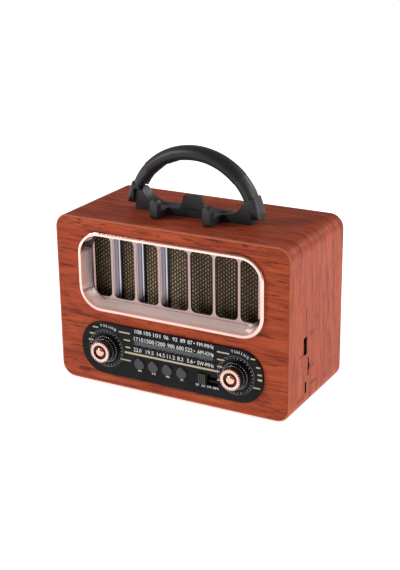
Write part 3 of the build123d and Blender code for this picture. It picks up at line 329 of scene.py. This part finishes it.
def wound_wire():
    s = Shader("copper_wire", Metallic=0.85)
    turns = s.math("SINE", s.math("MULTIPLY", s.axis("X"), 2 * math.pi / WIRE_PITCH))
    # painted shade: the copper is painted darker in the grooves between the turns and lighter on their
    # crowns
    s.colour(s.mix(s.spread(turns, -1.0, 1.0), (0.20, 0.055, 0.018), (0.62, 0.22, 0.08)))
    s.roughness(s.spread(s.noise(300.0), 0.3, 0.7, 0.28, 0.42))
    s.bump(turns, 0.0001, 0.8)
    return s.material


def cell_wrap():
    s = Shader("cell_wrap", Coat_Weight=0.6, Coat_Roughness=0.12)
    along = s.axis("X")
    low, high = (v[0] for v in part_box("battery_cell"))
    cap = s.spread(along, high - 2.2 * MM, high - 1.8 * MM)
    stripe = s.spread(along, low + 10.0 * MM, low + 10.2 * MM, 1.0, 0.0)
    film = s.mix(stripe, (0.045, 0.16, 0.42), (0.02, 0.05, 0.16))
    film = s.mix(s.spread(s.noise(80.0), 0.3, 0.7, 0.0, 0.3), film, (0.10, 0.25, 0.55))
    s.colour(s.mix(cap, film, (0.6, 0.6, 0.58)))
    s.roughness(s.spread(s.noise(250.0), 0.3, 0.7, 0.25, 0.4))
    s.bump(s.noise(500.0), 0.00003, 0.5)
    return s.material


def clear_plastic():
    s = Shader("clear_plastic", Transmission_Weight=1.0, IOR=1.49)
    s.colour(s.mix(s.spread(s.noise(90.0), 0.3, 0.7), (0.90, 0.92, 0.95), (0.82, 0.85, 0.90)))
    s.roughness(s.spread(s.noise(300.0), 0.3, 0.7, 0.03, 0.09))
    s.bump(s.noise(60.0), 0.00002, 0.3)
    return s.material


def led_lens():
    s = Shader("led_lens", Transmission_Weight=0.7, IOR=1.5)
    s.colour(s.mix(s.spread(s.noise(900.0), 0.3, 0.7), (0.85, 0.82, 0.75), (0.70, 0.62, 0.55)))
    s.roughness(s.spread(s.noise(700.0), 0.3, 0.7, 0.15, 0.3))
    s.bump(s.noise(1200.0), 0.00002, 0.5)
    return s.material


def steel(name, tone, shade, rough, brush):
    s = Shader(name, Metallic=1.0)
    s.colour(s.mix(s.spread(s.noise(120.0, detail=5.0), 0.3, 0.7), tone, shade))
    lines = s.noise(160.0, s.scaled(brush), detail=3.0)
    s.roughness(s.spread(lines, 0.3, 0.7, *rough))
    s.bump(lines, 0.00002, 0.5)
    return s.material


def gloss_black(name, rough=(0.06, 0.14), shine=0.4):
    s = Shader(name, IOR=1.45, Specular_IOR_Level=shine)
    s.colour(s.mix(s.spread(s.noise(70.0, detail=4.0), 0.3, 0.7), (0.0050, 0.0048, 0.0055),
                   (0.0090, 0.0086, 0.0098)))
    s.roughness(s.spread(s.noise(190.0, detail=5.0), 0.35, 0.75, *rough))
    s.bump(s.noise(45.0, detail=1.0), 0.00004, 0.15)
    return s.material


def soft_grip():
    s = Shader("grip_rubber", Specular_IOR_Level=0.35, Sheen_Weight=0.08, Sheen_Roughness=0.4)
    pores = s.cells(1500.0)
    s.colour(s.mix(s.spread(s.noise(40.0, detail=4.0), 0.3, 0.7), (0.0080, 0.0080, 0.0100),
                   (0.0150, 0.0150, 0.0180)))
    s.roughness(s.spread(pores, 0.0, 0.7, 0.36, 0.5))
    s.bump(pores, 0.00004, 0.5)
    return s.material


MATTE = dict(base=(0.012, 0.012, 0.014), worn=(0.021, 0.021, 0.024))
finishes = {
    "wood_wrap": panel_wood,
    "matte_black": wear("matte_black", rough=(0.36, 0.52), grain=1600.0, depth=0.00004, **MATTE),
    "steel": steel("steel", (0.62, 0.62, 0.63), (0.42, 0.42, 0.44), (0.22, 0.40), (1, 6, 1)),
    "foot_rubber": wear("foot_rubber", (0.012, 0.012, 0.012), (0.030, 0.029, 0.028), (0.7, 0.9),
                        700.0),
    "rose_plating": plating("rose_plating", (0.84, 0.55, 0.48), (0.72, 0.43, 0.37)),
    "copper_plating": plating("copper_plating", (0.90, 0.50, 0.38), (0.80, 0.40, 0.30),
                              (0.07, 0.14)),
    "fibre_board": fibre_board(),
    "cone_paper": cone_paper(),
    "ferrite": wear("ferrite", (0.030, 0.031, 0.034), (0.065, 0.065, 0.070), (0.45, 0.65), 1100.0,
                    Metallic=0.4),
    "gloss_black": gloss_black("gloss_black"),
    "clear_plastic": clear_plastic(),
    "nylon": wear("nylon", (0.62, 0.60, 0.54), (0.74, 0.72, 0.66), (0.4, 0.6), 800.0,
                  Subsurface_Weight=0.1),
    "red_plastic": wear("red_plastic", (0.55, 0.022, 0.018), (0.70, 0.050, 0.035), (0.3, 0.45)),
    "circuit_board": circuit_board(),
    "led_lens": led_lens(),
    "cell_wrap": cell_wrap(),
    "copper_wire": wound_wire(),
    "grip_rubber": soft_grip(),
    "chrome_tube": steel("chrome_tube", (0.80, 0.80, 0.82), (0.68, 0.68, 0.71), (0.06, 0.16),
                         (0.3, 4, 4)),
}
by_node = {
    "cabinet_shell": shell_wood,
    "grille_bezel": plated_grille(),
    "dial_panel": gloss_black("panel_black", (0.08, 0.16), 0.13),
    "rear_cover": wear("rear_moulding", (0.014, 0.014, 0.016), (0.026, 0.026, 0.029), (0.5, 0.68),
                       900.0, 0.00012),
    "band_switch_lever": wear("lever_plastic", (0.020, 0.019, 0.018), (0.045, 0.042, 0.038),
                              (0.3, 0.45)),
}
button_black = wear("button_plastic", (0.020, 0.020, 0.025), (0.032, 0.032, 0.040),
                    (0.30, 0.42), 1400.0, 0.00002)
for name in ("previous", "play", "next", "mode"):
    by_node[f"{name}_button"] = button_black

for entry in frame["record"]["subparts"]:
    node = entry["node"]
    own = frame["nodes"][node]
    finish = by_node.get(node, finishes.get(entry["material_slot"]))
    if not finish:
        continue                              # the cloth's solid: its sheet has its own finish
    if not own.material_slots:
        own.data.materials.append(finish)
    for seat in own.material_slots:
        seat.link = "OBJECT"
        seat.material = finish


# ---------------------------------------------------------------- speaker cloth
WARP, WEFT = 2.2 * MM, 3.2 * MM               # one column of knots, one row of knots
WEAVE_STEP = 0.55 * MM                        # spacing of the sheet's grid
WEAVE_IN, WEAVE_DEEP = 0.08 * MM, 0.32 * MM   # tops of the knots behind the cloth's front, relief
WEAVE_THICK = 0.22 * MM


def new_piece(name, mesh, body, material):
    piece = bpy.data.objects.new(name, mesh)
    bpy.context.scene.collection.objects.link(piece)
    mesh.materials.append(material)
    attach(piece, body)
    return piece


def knot(x, z):
    """Height of the weave from 0 to 1: slanted oval knots, odd columns half a row lower."""
    column = math.floor(x / WARP)
    u = (x / WARP - column) * 2 - 1
    z += (0.5 if column % 2 else 0.0) * WEFT
    row = math.floor(z / WEFT)
    v = (z / WEFT - row) * 2 - 1
    lean = 0.45 if column % 2 else -0.45
    reach = (u / 0.95) ** 2 + ((v - lean * u) / 0.92) ** 2
    return max(0.0, 1.0 - reach) ** 0.5


def woven_sheet():
    low, high = (Vector(v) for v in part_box("speaker_cloth"))
    columns, rows = round((high.x - low.x) / WEAVE_STEP), round((high.z - low.z) / WEAVE_STEP)
    top = low.y + WEAVE_IN
    mesh = bmesh.new()
    grid = []
    for i in range(columns + 1):
        x = low.x + (high.x - low.x) * i / columns
        grid.append([])
        for j in range(rows + 1):
            z = low.z + (high.z - low.z) * j / rows
            grid[-1].append(mesh.verts.new((x, top + WEAVE_DEEP * (1 - knot(x, z)), z)))
    for i in range(columns):
        for j in range(rows):
            face = mesh.faces.new((grid[i][j], grid[i + 1][j], grid[i + 1][j + 1], grid[i][j + 1]))
            face.smooth = True
    made = bpy.data.meshes.new("speaker_cloth_weave")
    mesh.to_mesh(made)
    mesh.free()
    return made, high - low, top


def cloth_finish(top):
    s = Shader("speaker_fabric", Sheen_Weight=0.3, Sheen_Roughness=0.5)
    raised = s.spread(s.axis("Y"), top + 0.12 * WEAVE_DEEP, top + 0.62 * WEAVE_DEEP, 1.0, 0.0)
    strands = s.noise(5200.0, s.scaled((1.0, 1.0, 0.35), turn=(0, 0.6, 0)), detail=2.0)
    patchy = s.noise(420.0, detail=3.0)
    gold = s.ramp(s.math("MULTIPLY_ADD", strands, 0.6, s.math("MULTIPLY", patchy, 0.4)),
                  (0.30, (0.060, 0.032, 0.013)), (0.46, (0.27, 0.165, 0.070)),
                  (0.62, (0.66, 0.46, 0.22)))
    s.colour(s.mix(raised, (0.004, 0.002, 0.001), gold))
    s.roughness(s.spread(strands, 0.3, 0.7, 0.6, 0.85))
    s.bump(strands, 0.0001, 0.7)
    return s.material


cloth_mesh, cloth_size, cloth_top = woven_sheet()
cloth = new_piece("speaker_cloth_sheet", cloth_mesh, "radio", cloth_finish(cloth_top))
thick = cloth.modifiers.new("thickness", "SOLIDIFY")
thick.thickness, thick.offset = WEAVE_THICK, -1.0
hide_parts("speaker_cloth")

# ---------------------------------------------------------------- dial printing
INK_OUT, INK_THICK = 0.03 * MM, 0.05 * MM     # front of the ink above its wall, coat of ink
PRINT_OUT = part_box("dial_panel")[0][1] - INK_OUT
CAPITAL = 0.69                                # height of a capital when the letters' size is 1
VOLUME, TUNING = middle("volume_knob"), middle("tuning_knob")


def glyphs(text, tall, x, z, wide):
    """A mesh of the letters, upright on the panel, centred on x and with their middle at z."""
    curve = bpy.data.curves.new("letters", "FONT")
    curve.body, curve.size, curve.align_x = text, 1.0, "CENTER"
    curve.resolution_u, curve.offset = 3, 0.012
    holder = bpy.data.objects.new("letters", curve)
    bpy.context.scene.collection.objects.link(holder)
    bpy.context.view_layer.update()
    mesh = bpy.data.meshes.new_from_object(holder)
    bpy.data.objects.remove(holder)
    bpy.data.curves.remove(curve)
    spans = [v.co.x for v in mesh.vertices]
    left, right = min(spans), max(spans)
    for v in mesh.vertices:
        v.co = ((v.co.x - (right + left) / 2) * wide / (right - left) + x, PRINT_OUT,
                v.co.y * tall / CAPITAL - tall / 2 + z)
    return mesh


def gather(target, mesh, move=None):
    """Adds mesh to the figures in target, at its place or moved by a matrix."""
    start = len(target.verts)
    target.from_mesh(mesh)
    bpy.data.meshes.remove(mesh)
    target.verts.ensure_lookup_table()
    if move:
        bmesh.ops.transform(target, matrix=move, verts=target.verts[start:])


def polygon(target, points):
    target.faces.new([target.verts.new((x, PRINT_OUT, z)) for x, z in points])


def strip(target, x0, x1, z, tall):
    low, high = z - tall / 2, z + tall / 2
    polygon(target, [(x0, low), (x1, low), (x1, high), (x0, high)])


def spot(target, x, z, radius, sides=10):
    turns = [2 * math.pi * k / sides for k in range(sides)]
    polygon(target, [(x + radius * math.cos(turn), z + radius * math.sin(turn)) for turn in turns])


def ring(target, centre, radius, wide, pieces=48):
    rows = []
    for k in range(pieces + 1):
        turn = 2 * math.pi * k / pieces
        rows.append([target.verts.new((centre.x + r * math.cos(turn), PRINT_OUT,
                                       centre.z + r * math.sin(turn)))
                     for r in (radius - wide / 2, radius + wide / 2)])
    for a, b in zip(rows, rows[1:]):
        target.faces.new((a[0], b[0], b[1], a[1]))


def printed(name, mesh, material, out):
    """Makes a piece of the flat figures, facing along out and as thick as a coat of ink."""
    bmesh.ops.recalc_face_normals(mesh, faces=mesh.faces)
    for face in mesh.faces:
        if face.normal.dot(out) < 0:
            face.normal_flip()
    data = bpy.data.meshes.new(name)
    mesh.to_mesh(data)
    mesh.free()
    piece = new_piece(name, data, "radio", material)
    coat = piece.modifiers.new("ink", "SOLIDIFY")
    coat.thickness, coat.offset = INK_THICK, -1.0


FORWARD, RIGHT = Vector((0, -1, 0)), Vector((1, 0, 0))


def ink(name, light, shade, rough):
    s = Shader(name)
    s.colour(s.mix(s.spread(s.noise(600.0, detail=4.0), 0.35, 0.7), light, shade))
    s.roughness(s.spread(s.noise(900.0), 0.3, 0.7, *rough))
    s.bump(s.noise(2500.0), 0.00001, 0.5)
    return s.material


white_ink = ink("white_ink", (0.74, 0.74, 0.76), (0.58, 0.58, 0.61), (0.35, 0.5))
gold_ink = ink("gold_ink", (0.50, 0.43, 0.27), (0.40, 0.34, 0.21), (0.35, 0.5))
grey_ink = ink("grey_ink", (0.42, 0.42, 0.43), (0.14, 0.14, 0.15), (0.3, 0.5))
dark_ink = ink("dark_ink", (0.006, 0.004, 0.003), (0.016, 0.010, 0.008), (0.5, 0.7))

# three rows of dial numbers: height of the row, numbers with their x, unit (all in mm)
DIGIT, DIGIT_WIDE, POINT_WIDE, ENDS_WIDE = 3.1, 2.05, 0.7, 0.2
UNIT_X, UNIT_WIDE, UNIT_DOT_X, UNIT_DOT_R = 31.4, 14.2, 22.0, 0.55
ROWS = (
    (52.2, (("108", -27.0), ("105", -18.8), ("101", -10.5), ("96", -2.4), ("92", 5.4), ("89", 12.2),
            ("87", 18.4)), "FM-MHz"),
    (46.0, (("1710", -26.8), ("1500", -17.2), ("1200", -7.4), ("900", 1.8), ("600", 9.7),
            ("522", 17.2)), "AM-KHz"),
    (37.0, (("22.0", -28.0), ("19.5", -17.1), ("14.5", -7.2), ("11.2", 1.6), ("8.3", 9.7),
            ("5.6", 18.0)), "SW-MHz"),
)
white = bmesh.new()
for z, numbers, unit in ROWS:
    for text, x in numbers:
        points = text.count(".")
        wide = ENDS_WIDE + DIGIT_WIDE * (len(text) - points) + POINT_WIDE * points
        gather(white, glyphs(text, DIGIT * MM, x * MM, z * MM, wide * MM))
    spot(white, UNIT_DOT_X * MM, z * MM, UNIT_DOT_R * MM)
    gather(white, glyphs(unit, DIGIT * MM, UNIT_X * MM, z * MM, UNIT_WIDE * MM))

# small signs under the keys: previous, play and pause, next, and a letter
SIGN_Z, SIGN = 19.9 * MM, 0.75 * MM           # middle of the signs, half of their height
for kind in ("previous", "play", "next"):
    x = middle(f"{kind}_button").x
    if kind == "play":
        polygon(white, [(x - 2 * SIGN, SIGN_Z - SIGN), (x - 0.4 * SIGN, SIGN_Z),
                        (x - 2 * SIGN, SIGN_Z + SIGN)])
        for k in (0.6, 1.8):
            strip(white, x + (k - 0.3) * SIGN, x + (k + 0.3) * SIGN, SIGN_Z, 2 * SIGN)
    else:
        way = 1 if kind == "next" else -1
        for k in (-1.8, -0.2):
            polygon(white, [(x + way * k * SIGN, SIGN_Z - SIGN), (x + way * (k + 1.6) * SIGN, SIGN_Z),
                            (x + way * k * SIGN, SIGN_Z + SIGN)])
        strip(white, *sorted((x + way * 1.4 * SIGN, x + way * 2.0 * SIGN)), SIGN_Z, 2 * SIGN)
gather(white, glyphs("M", 1.9 * MM, middle("mode_button").x, SIGN_Z, 2.0 * MM))

# band names under the band lever, placed from the middle of its travel
BAND_Z, BAND_TALL, BAND_LETTER = 19.0 * MM, 1.8 * MM, 1.55 * MM
lever_x = middle("band_switch_lever").x + 4.0 * MM
for text, x in (("SW", -8.6), ("AM", -3.6), ("FM", 1.4), ("MP3", 7.0)):
    gather(white, glyphs(text, BAND_TALL, lever_x + x * MM, BAND_Z, BAND_LETTER * len(text)))

# a curved word above each knob; aside turns it clockwise from straight up, in degrees
WORD_REACH, WORD_TALL, LETTER_TURN = 19.0 * MM, 2.1 * MM, 8.0
LETTER_WIDE, LETTER_I_WIDE = 1.75 * MM, 0.5 * MM
for centre, word, aside in ((VOLUME, "VOLUME", 8.0), (TUNING, "TUNING", 11.0)):
    for k, letter in enumerate(word):
        lean = math.radians(aside + LETTER_TURN * (k - (len(word) - 1) / 2))
        move = Matrix.Translation((centre.x, 0, centre.z)) @ Matrix.Rotation(lean, 4, "Y") \
            @ Matrix.Translation((0, 0, WORD_REACH))
        wide = LETTER_I_WIDE if letter == "I" else LETTER_WIDE
        gather(white, glyphs(letter, WORD_TALL, 0.0, 0.0, wide), move)
printed("dial_print_white", white, white_ink, FORWARD)

# a ring of dots and a thin line round each knob
DOTS, DOT_RING, DOT_R = 30, 13.9 * MM, 0.42 * MM
THIN_RING, THIN_WIDE = 15.3 * MM, 0.16 * MM
rings = bmesh.new()
for centre in (VOLUME, TUNING):
    for k in range(DOTS):
        turn = 2 * math.pi * k / DOTS
        spot(rings, centre.x + DOT_RING * math.cos(turn), centre.z + DOT_RING * math.sin(turn),
             DOT_R)
    ring(rings, centre, THIN_RING, THIN_WIDE)
printed("dial_print_rings", rings, grey_ink, FORWARD)

# the long line across the dial and its end piece, then the short dashes beside the knobs
LINE_Z, LINE_TALL, DASH_TALL = 33.2, 1.55, 1.15
gold = bmesh.new()
strip(gold, -39.7 * MM, 43.3 * MM, LINE_Z * MM, LINE_TALL * MM)
for x0, x1, z in ((-68.4, -63.6, 49.3), (-71.6, -67.4, 43.6), (-72.8, -68.4, 37.9),
                  (-44.6, -34.6, 49.3), (-40.4, -34.6, 43.4), (-38.9, -34.6, 37.6), (-43.8, -34.6, 26.6),
                  (41.1, 51.4, 49.2), (41.1, 47.2, 43.2), (41.1, 45.4, 37.4), (41.1, 44.2, 26.4),
                  (69.0, 72.6, 48.8), (73.4, 76.8, 42.8), (74.6, 78.2, 37.2), (71.0, 76.8, 26.2)):
    strip(gold, x0 * MM, x1 * MM, z * MM, DASH_TALL * MM)
strip(gold, 74.8 * MM, 78.4 * MM, LINE_Z * MM, LINE_TALL * MM)
printed("dial_print_gold", gold, gold_ink, FORWARD)

# ---------------------------------------------------------------- studs round the knobs
STUDS, STUD_SHAPE = 36, (1.0, 0.8, 1.25, 1.0)  # in each row; stretch along x, y and z
STUD_OUT, STUD_ROW_STEP = 2.1 * MM, 2.2 * MM   # first row in front of the dial, second row on


def studs(name, centre, body, rows):
    """Rows of small studs round a knob; each row is (radius, y, size)."""
    mesh = bmesh.new()
    for radius, y, size in rows:
        for k in range(STUDS):
            turn = 2 * math.pi * k / STUDS
            place = Matrix.Translation((centre.x + radius * math.cos(turn), y,
                                        centre.z + radius * math.sin(turn)))
            place = place @ Matrix.Rotation(-turn, 4, "Y") @ Matrix.Diagonal(STUD_SHAPE)
            bmesh.ops.create_icosphere(mesh, subdivisions=2, radius=size, matrix=place)
    for face in mesh.faces:
        face.smooth = True
    data = bpy.data.meshes.new(name)
    mesh.to_mesh(data)
    mesh.free()
    return new_piece(name, data, body, stud_finish)


stud_finish = plating("stud_plating", (0.62, 0.62, 0.64), (0.45, 0.45, 0.47), (0.12, 0.22))
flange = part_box("dial_panel")[0][1] - STUD_OUT
for knob, centre in (("volume", VOLUME), ("tuning", TUNING)):
    studs(f"{knob}_knob_studs", centre, f"{knob}_turning",
          ((10.35 * MM, flange, 0.34 * MM), (9.05 * MM, flange - STUD_ROW_STEP, 0.30 * MM)))

# ---------------------------------------------------------------- signs beside the side sockets
def side_words(target, text, y, z, tall, wide):
    """Letters on the right wall: along +Y, upright, starting at y."""
    mesh = glyphs(text, tall, 0.0, 0.0, wide)
    for v in mesh.vertices:
        v.co = (shell_high[0] + INK_OUT, y + wide / 2 + v.co.x, z + v.co.z)
    gather(target, mesh)


side = bmesh.new()
for text, y, z, tall, wide in (("LED", -10.8, 61.6, 2.3, 6.0), ("USB", -29.5, 48.6, 2.3, 6.0),
                               ("TF", -9.6, 38.2, 2.1, 3.2), ("CARD", -9.6, 34.4, 2.1, 7.0),
                               ("CHARGE", -10.8, 20.5, 2.3, 12.5), ("DC 5V", -30.5, 13.8, 2.3, 9.5)):
    side_words(side, text, y * MM, z * MM, tall * MM, wide * MM)
printed("side_print", side, dark_ink, RIGHT)

# ---------------------------------------------------------------- floor, light and camera
FLOOR_HALF = 6.0
AIM = (0.0, 0.0, 0.08)                        # middle of the cabinet, where the lamps point


def floor():
    mesh = bmesh.new()
    mesh.faces.new([mesh.verts.new((x * FLOOR_HALF, y * FLOOR_HALF, 0))
                    for x, y in ((-1, -1), (1, -1), (1, 1), (-1, 1))])
    data = bpy.data.meshes.new("floor")
    mesh.to_mesh(data)
    mesh.free()
    slab = bpy.data.objects.new("floor", data)
    bpy.context.scene.collection.objects.link(slab)
    s = Shader("pale_floor", Emission_Color=(1, 1, 1, 1), Emission_Strength=0.72)
    s.colour(s.mix(s.noise(3.0), (0.93, 0.93, 0.93), (0.96, 0.96, 0.96)))
    s.roughness(s.spread(s.noise(20.0), 0.3, 0.7, 0.75, 0.9))
    data.materials.append(s.material)


def softbox(name, place, size, watts, tint=(1, 1, 1)):
    data = bpy.data.lights.new(name, "AREA")
    data.shape, data.size, data.size_y = "RECTANGLE", *size
    data.energy, data.color = watts, tint
    lamp = bpy.data.objects.new(name, data)
    bpy.context.scene.collection.objects.link(lamp)
    lamp.location = place
    lamp.rotation_euler = (Vector(AIM) - Vector(place)).to_track_quat("-Z", "Y").to_euler()


floor()
softbox("key", (-1.25, -0.85, 0.95), (0.45, 0.8), 19.0)
softbox("right_side", (1.35, 0.25, 0.5), (0.5, 0.9), 9.6, (1.0, 0.95, 0.88))
softbox("back_right", (0.9, 1.4, 0.9), (0.6, 0.8), 8.0)

# the camera sees a white background; the radio is lit by a dimmer, slightly cool sky
world = bpy.data.worlds.new("studio")
bpy.context.scene.world = world
world.use_nodes = True
sky = world.node_tree
backdrop = sky.nodes["Background"]
seen = sky.nodes.new("ShaderNodeBackground")
seen.inputs["Color"].default_value = (1, 1, 1, 1)
seen.inputs["Strength"].default_value = 1.0
backdrop.inputs["Color"].default_value = (0.93, 0.94, 0.97, 1)
backdrop.inputs["Strength"].default_value = 0.27
paths = sky.nodes.new("ShaderNodeLightPath")
chosen = sky.nodes.new("ShaderNodeMixShader")
sky.links.new(paths.outputs["Is Camera Ray"], chosen.inputs[0])
sky.links.new(backdrop.outputs[0], chosen.inputs[1])
sky.links.new(seen.outputs[0], chosen.inputs[2])
sky.links.new(chosen.outputs[0], sky.nodes["World Output"].inputs["Surface"])

bpy.context.scene.view_settings.view_transform = "Standard"

lens = bpy.data.cameras.new("camera")
lens.sensor_fit, lens.sensor_width, lens.lens = "AUTO", 36.0, 78.9
lens.clip_start = 0.05
camera = bpy.data.objects.new("camera", lens)
bpy.context.scene.collection.objects.link(camera)
CAMERA_AT, LOOK_AT = Vector((0.44338, -0.79661, 0.41181)), Vector((0.000503, 0.0019, 0.07906))
CAMERA_ROLL = math.radians(-0.732)
camera.location = CAMERA_AT
facing = (LOOK_AT - CAMERA_AT).to_track_quat("-Z", "Y").to_matrix()
camera.rotation_euler = (facing @ Matrix.Rotation(CAMERA_ROLL, 3, "Z")).to_euler()
bpy.context.scene.camera = camera
